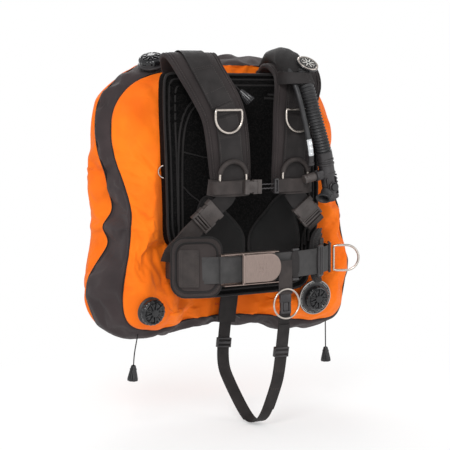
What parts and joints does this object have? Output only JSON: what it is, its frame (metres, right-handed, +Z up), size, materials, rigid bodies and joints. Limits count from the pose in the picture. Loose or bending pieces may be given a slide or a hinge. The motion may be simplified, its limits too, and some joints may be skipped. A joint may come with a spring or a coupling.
{
  "type": "buoyancy compensator vest",
  "caption": "Back-inflation diving buoyancy compensator with donut wing, steel backplate, padded harness, inflator and dump valves.",
  "frame": {"origin": "middle of the backplate's tank face, the flat rear of the centre ridge, halfway between its two bolt slots", "axes": "+X to the wearer's left, -Y the wearer's front, +Z up"},
  "size_m": [0.5346, 0.3009, 0.7303],
  "materials": {
    "orange_shell": "woven nylon, matte",
    "charcoal_shell": "woven nylon, matte",
    "bladder": "satin polyurethane film",
    "stainless": "satin",
    "cap_badge": "satin with a pale ring",
    "padding": "padded mesh and cordura, matte",
    "webbing": "ribbed nylon webbing",
    "rubber": "satin",
    "plastic": "moulded acetal, satin"
  },
  "bodies": {
    "vest": {"wing_front_panel": "orange_shell", "wing_rear_panel": "orange_shell", "wing_gusset": "charcoal_shell", "wing_bladder": "bladder", "backplate": "stainless", "back_pad": "padding", "shoulder_pad_l": "padding", "shoulder_webbing_l": "webbing", "shoulder_pad_r": "padding", "shoulder_webbing_r": "webbing", "shoulder_buckle_female_l": "plastic", "shoulder_buckle_female_r": "plastic", "chest_strap_right": "webbing", "chest_buckle_female": "plastic", "waist_belt": "webbing", "waist_buckle_frame": "stainless", "hip_pad_r": "padding", "hip_pad_l": "padding", "crotch_strap": "webbing", "dump_valve_right_base": "plastic", "dump_valve_right_spring": "stainless", "dump_valve_right_cap": "plastic", "dump_valve_left_base": "plastic", "dump_valve_left_spring": "stainless", "dump_valve_left_cap": "plastic", "dump_valve_top_base": "plastic", "dump_valve_top_spring": "stainless", "dump_valve_top_cap": "plastic", "inflator_elbow": "plastic", "inflator_elbow_cap": "cap_badge", "inflator_hose": "rubber", "inflator_body": "plastic", "mouthpiece": "rubber", "lp_hose": "rubber", "hose_keeper": "webbing"},
    "waist_lever": {"waist_buckle_lever": "stainless"},
    "chest_dring_l_body": {"chest_dring_l": "stainless"},
    "lower_dring_l_body": {"lower_dring_l": "stainless"},
    "chest_dring_r_body": {"chest_dring_r": "stainless"},
    "lower_dring_r_body": {"lower_dring_r": "stainless"},
    "waist_dring_body": {"waist_dring": "stainless"},
    "crotch_ring_body": {"crotch_ring": "stainless"},
    "pad_ring_body": {"pad_ring": "stainless"},
    "dump_left_pull_body": {"dump_valve_left_pull": "rubber"},
    "dump_left_disc_body": {"dump_valve_left_disc": "rubber"},
    "dump_right_pull_body": {"dump_valve_right_pull": "rubber"},
    "dump_right_disc_body": {"dump_valve_right_disc": "rubber"},
    "dump_top_pull_body": {"dump_valve_top_pull": "rubber"},
    "dump_top_disc_body": {"dump_valve_top_disc": "rubber"},
    "inflate_button_body": {"inflate_button": "rubber"},
    "deflate_button_body": {"deflate_button": "rubber"},
    "lp_coupling_body": {"lp_coupling": "stainless"},
    "shoulder_release_l": {"shoulder_buckle_male_l": "plastic", "lower_strap_l": "webbing"},
    "shoulder_release_r": {"shoulder_buckle_male_r": "plastic", "lower_strap_r": "webbing"},
    "chest_release": {"chest_buckle_male": "plastic", "chest_strap_left": "webbing"},
    "crotch_slider_front_body": {"crotch_slider_front": "plastic"},
    "crotch_slider_rear_body": {"crotch_slider_rear": "plastic"}
  },
  "joints": [
    {"name": "waist_lever_hinge", "type": "hinge", "parent": "vest", "child": "waist_lever", "pos_m": [-0.066, -0.1645, -0.16], "axis": [0, 0, -1], "range_deg": [0, 120]},
    {"name": "chest_dring_l_swing", "type": "hinge", "parent": "vest", "child": "chest_dring_l_body", "pos_m": [0.0775, -0.13, 0.136], "axis": [-1, 0, 0], "range_deg": [0, 4]},
    {"name": "lower_dring_l_swing", "type": "hinge", "parent": "vest", "child": "lower_dring_l_body", "pos_m": [0.069, -0.1312, -0.0045], "axis": [1, 0, 0], "range_deg": [0, 10]},
    {"name": "chest_dring_r_swing", "type": "hinge", "parent": "vest", "child": "chest_dring_r_body", "pos_m": [-0.0775, -0.13, 0.136], "axis": [-1, 0, 0], "range_deg": [0, 90]},
    {"name": "lower_dring_r_swing", "type": "hinge", "parent": "vest", "child": "lower_dring_r_body", "pos_m": [-0.069, -0.1312, -0.0045], "axis": [1, 0, 0], "range_deg": [0, 90]},
    {"name": "waist_dring_swing", "type": "hinge", "parent": "vest", "child": "waist_dring_body", "pos_m": [0.19, -0.081, -0.16], "axis": [0, 0, 1], "range_deg": [-50, 10]},
    {"name": "crotch_ring_swing", "type": "hinge", "parent": "vest", "child": "crotch_ring_body", "pos_m": [0.027, -0.168, -0.2055], "axis": [-1, 0, 0], "range_deg": [0, 60]},
    {"name": "pad_ring_swing", "type": "hinge", "parent": "vest", "child": "pad_ring_body", "pos_m": [-0.166, -0.05, 0.03], "axis": [0.789, -0.4587, -0.4088], "range_deg": [-15, 15]},
    {"name": "dump_left_pull", "type": "slide", "parent": "vest", "child": "dump_left_pull_body", "axis": [0.0208, 0, -0.9998], "range_m": [0, 0.012], "stiffness_N_per_m": 400},
    {"name": "dump_left_disc_lift", "type": "slide", "parent": "vest", "child": "dump_left_disc_body", "axis": [-0.0595, -0.9911, -0.1189], "range_m": [0, 0.003], "deforming": ["dump_valve_left_spring"]},
    {"name": "dump_right_pull", "type": "slide", "parent": "vest", "child": "dump_right_pull_body", "axis": [-0.1905, 0.0381, -0.981], "range_m": [0, 0.012], "stiffness_N_per_m": 400},
    {"name": "dump_right_disc_lift", "type": "slide", "parent": "vest", "child": "dump_right_disc_body", "axis": [0.0988, -0.988, -0.1186], "range_m": [0, 0.003], "deforming": ["dump_valve_right_spring"]},
    {"name": "dump_top_pull", "type": "slide", "parent": "vest", "child": "dump_top_pull_body", "axis": [0.5346, -0.4416, -0.7205], "range_m": [0, 0.012], "stiffness_N_per_m": 400},
    {"name": "dump_top_disc_lift", "type": "slide", "parent": "vest", "child": "dump_top_disc_body", "axis": [-0.2724, -0.3179, 0.9082], "range_m": [0, 0.003], "deforming": ["dump_valve_top_spring"]},
    {"name": "inflate_press", "type": "slide", "parent": "vest", "child": "inflate_button_body", "axis": [-0.0034, 0.9997, 0.0238], "range_m": [0, 0.004], "stiffness_N_per_m": 300},
    {"name": "deflate_press", "type": "slide", "parent": "vest", "child": "deflate_button_body", "axis": [-0.1394, -0.024, 0.9899], "range_m": [0, 0.005], "stiffness_N_per_m": 300},
    {"name": "lp_coupling_slide", "type": "slide", "parent": "vest", "child": "lp_coupling_body", "axis": [-0.9902, 0, -0.1394], "range_m": [0, 0.004], "stiffness_N_per_m": 300},
    {"name": "shoulder_unclip_l", "type": "slide", "parent": "vest", "child": "shoulder_release_l", "axis": [0.7005, 0.1801, -0.6905], "range_m": [0, 0.024]},
    {"name": "shoulder_unclip_r", "type": "slide", "parent": "vest", "child": "shoulder_release_r", "axis": [-0.7005, 0.1801, -0.6905], "range_m": [0, 0.024]},
    {"name": "chest_unclip", "type": "slide", "parent": "vest", "child": "chest_release", "axis": [1, 0, 0], "range_m": [0, 0.018]},
    {"name": "crotch_front_adjust", "type": "slide", "parent": "vest", "child": "crotch_slider_front_body", "axis": [0.0479, -0.1077, 0.993], "range_m": [-0.008, 0.008]},
    {"name": "crotch_rear_adjust", "type": "slide", "parent": "vest", "child": "crotch_slider_rear_body", "axis": [-0.0971, 0, -0.9953], "range_m": [-0.008, 0.008]}
  ],
  "couplings": [
    {"joint": "dump_left_disc_lift", "follows": "dump_left_pull", "ratio": 0.25},
    {"joint": "dump_right_disc_lift", "follows": "dump_right_pull", "ratio": 0.25},
    {"joint": "dump_top_disc_lift", "follows": "dump_top_pull", "ratio": 0.25}
  ]
}
